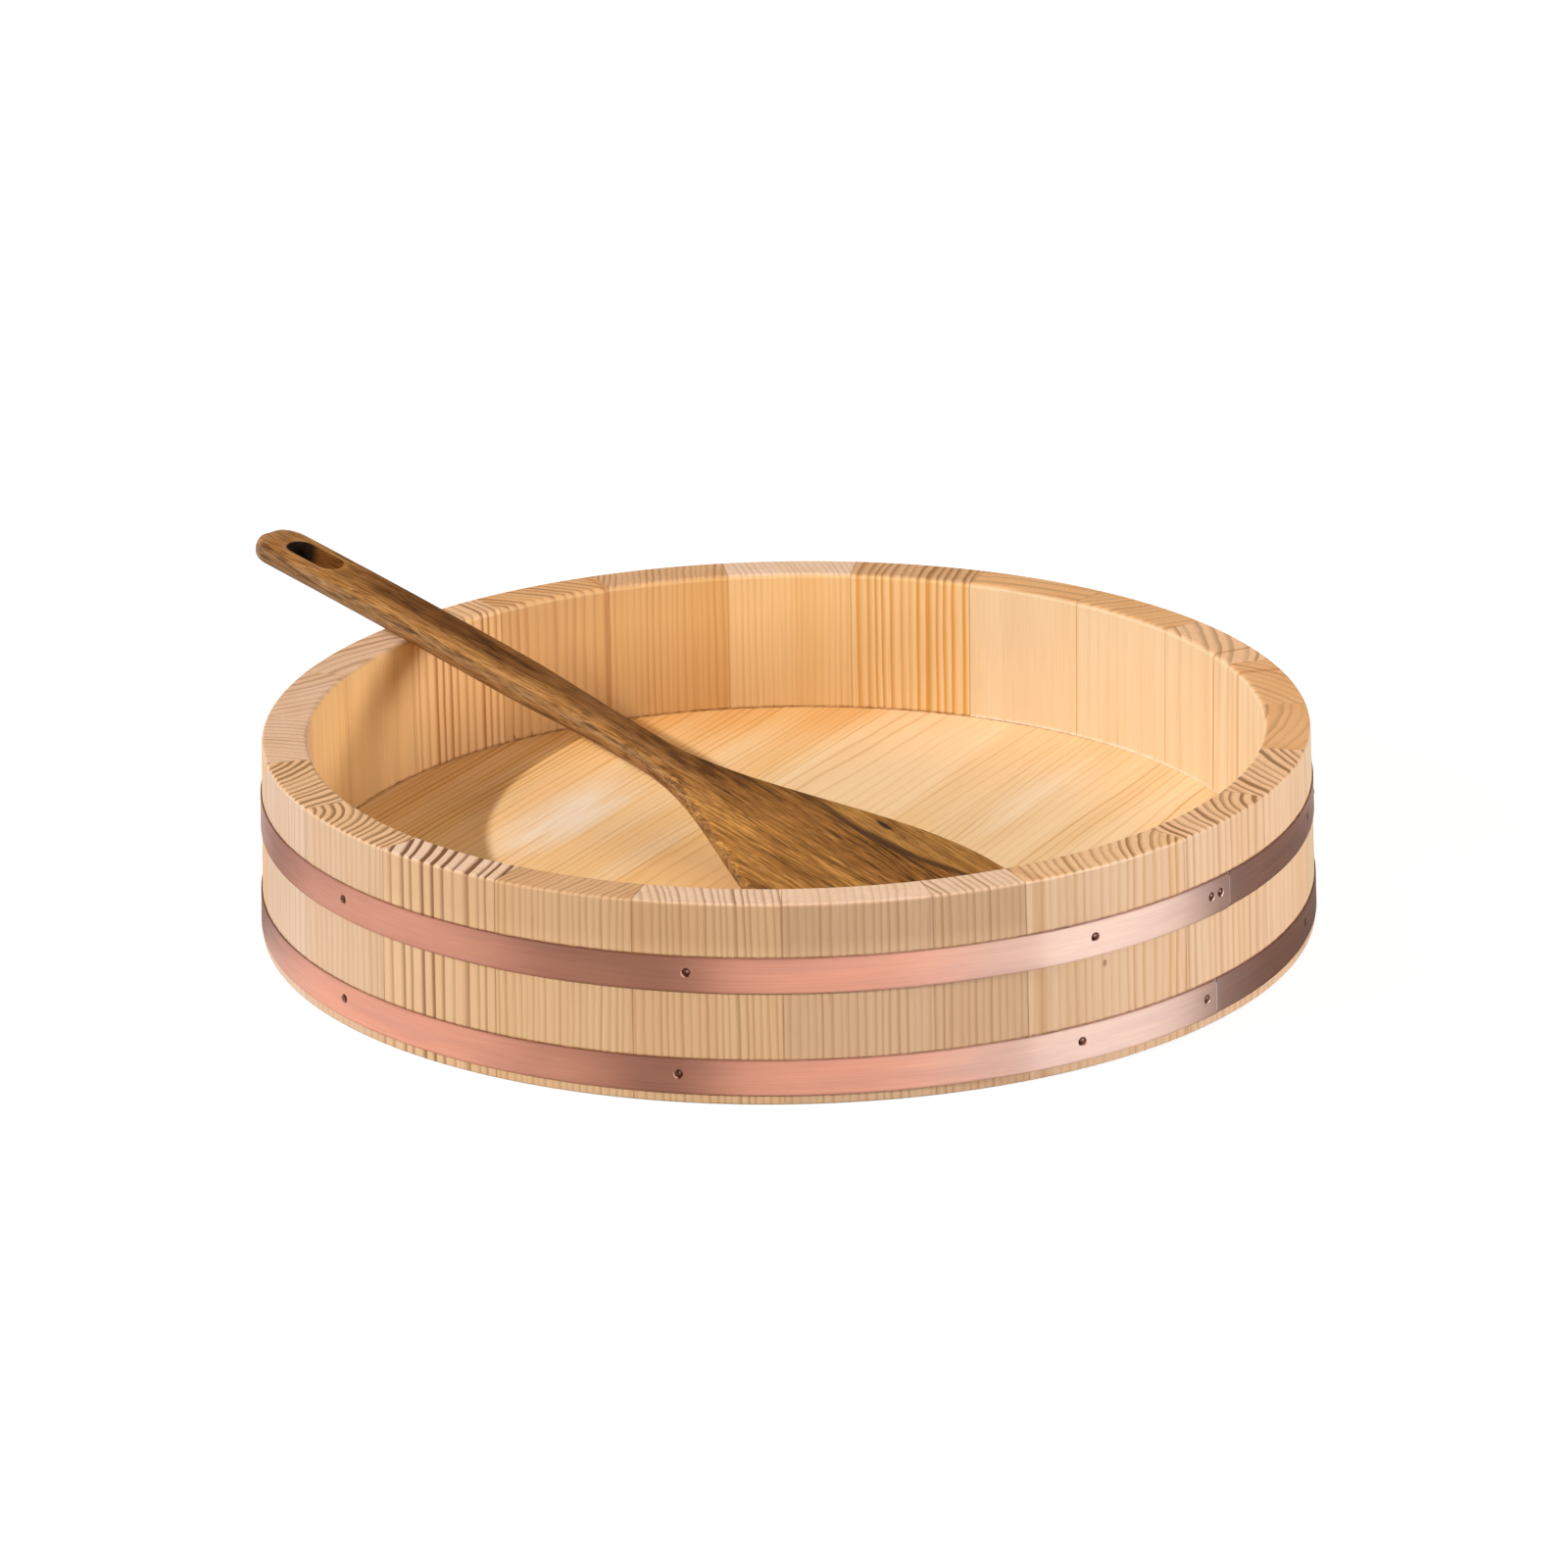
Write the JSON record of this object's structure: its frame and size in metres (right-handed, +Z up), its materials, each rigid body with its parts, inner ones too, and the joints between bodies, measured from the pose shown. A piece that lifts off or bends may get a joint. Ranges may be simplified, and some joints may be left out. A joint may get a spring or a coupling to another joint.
{
  "type": "sushi rice tub",
  "caption": "Low round wooden tub of upright staves bound by nailed copper hoops, with a board floor, for dressing and cooling sushi rice, and its long-handled wooden paddle.",
  "frame": {"origin": "on the ground, at the centre of the tub's foot", "axes": "+Z up; the paddle points from its handle, which leaves the tub towards -X and +Y, down into the tub towards +X and -Y; the picture looks mostly along +Y"},
  "size_m": [0.3352, 0.3351, 0.0827],
  "materials": {
    "stave_pine": "planed bare pale softwood, satin",
    "floor_pine": "planed bare pale softwood, satin",
    "peg_bamboo": "bare bamboo, hidden",
    "hoop_copper": "brushed copper sheet, slightly dulled",
    "nail_copper": "darkened copper",
    "paddle_hardwood": "oiled dark streaky hardwood, satin"
  },
  "bodies": {
    "tub": {"stave_01": "stave_pine", "stave_02": "stave_pine", "stave_03": "stave_pine", "stave_04": "stave_pine", "stave_05": "stave_pine", "stave_06": "stave_pine", "stave_07": "stave_pine", "stave_08": "stave_pine", "stave_09": "stave_pine", "stave_10": "stave_pine", "stave_11": "stave_pine", "stave_12": "stave_pine", "stave_13": "stave_pine", "stave_14": "stave_pine", "stave_15": "stave_pine", "stave_16": "stave_pine", "stave_17": "stave_pine", "stave_18": "stave_pine", "stave_19": "stave_pine", "stave_20": "stave_pine", "stave_21": "stave_pine", "stave_22": "stave_pine", "stave_23": "stave_pine", "floor_board_1": "floor_pine", "floor_board_2": "floor_pine", "floor_board_3": "floor_pine", "floor_board_4": "floor_pine", "floor_board_5": "floor_pine", "floor_peg_1": "peg_bamboo", "floor_peg_2": "peg_bamboo", "floor_peg_3": "peg_bamboo", "floor_peg_4": "peg_bamboo", "floor_peg_5": "peg_bamboo", "floor_peg_6": "peg_bamboo", "floor_peg_7": "peg_bamboo", "floor_peg_8": "peg_bamboo", "upper_hoop": "hoop_copper", "lower_hoop": "hoop_copper", "upper_hoop_nail_01": "nail_copper", "upper_hoop_nail_02": "nail_copper", "upper_hoop_nail_03": "nail_copper", "upper_hoop_nail_04": "nail_copper", "upper_hoop_nail_05": "nail_copper", "upper_hoop_nail_06": "nail_copper", "upper_hoop_nail_07": "nail_copper", "upper_hoop_nail_08": "nail_copper", "upper_hoop_nail_09": "nail_copper", "upper_hoop_nail_10": "nail_copper", "lower_hoop_nail_01": "nail_copper", "lower_hoop_nail_02": "nail_copper", "lower_hoop_nail_03": "nail_copper", "lower_hoop_nail_04": "nail_copper", "lower_hoop_nail_05": "nail_copper", "lower_hoop_nail_06": "nail_copper", "lower_hoop_nail_07": "nail_copper", "lower_hoop_nail_08": "nail_copper", "lower_hoop_nail_09": "nail_copper"},
    "paddle": {"rice_paddle": "paddle_hardwood"}
  },
  "joints": [
    {"name": "paddle_lift", "type": "slide", "parent": "tub", "child": "paddle", "axis": [0, 0, 1], "range_m": [0, 0.12]}
  ]
}
